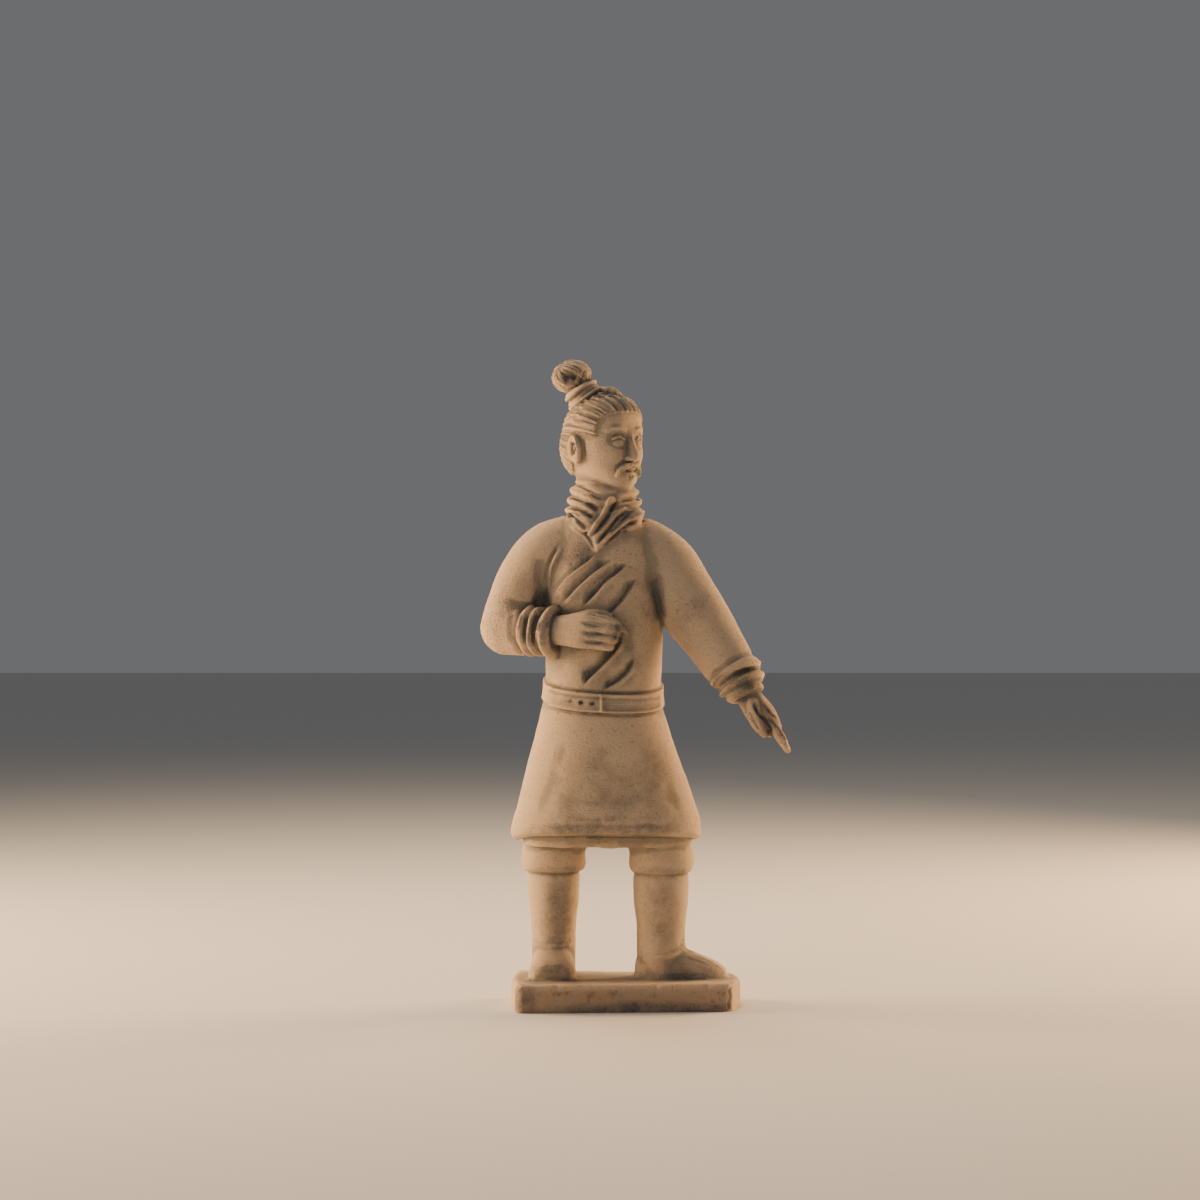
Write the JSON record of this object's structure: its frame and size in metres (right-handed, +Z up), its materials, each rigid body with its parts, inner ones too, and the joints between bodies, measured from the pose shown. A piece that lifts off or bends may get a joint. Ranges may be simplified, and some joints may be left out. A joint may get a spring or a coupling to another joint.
{
  "type": "standing terracotta warrior statuette",
  "caption": "Moulded clay statuette of a standing warrior in a belted robe and wrapped neck scarf, one arm bent across the belly, on a low slab base.",
  "frame": {"origin": "middle of the base's flat underside", "axes": "+Z up, the figure faces -Y, its left hand is towards +X"},
  "size_m": [0.095, 0.042, 0.2],
  "materials": {
    "terracotta": "matte fired clay, pale tan with slate-grey ash in the hollows and a warmer rubbed tone on the ridges"
  },
  "bodies": {
    "root": {"warrior_statue": "terracotta"}
  },
  "joints": []
}
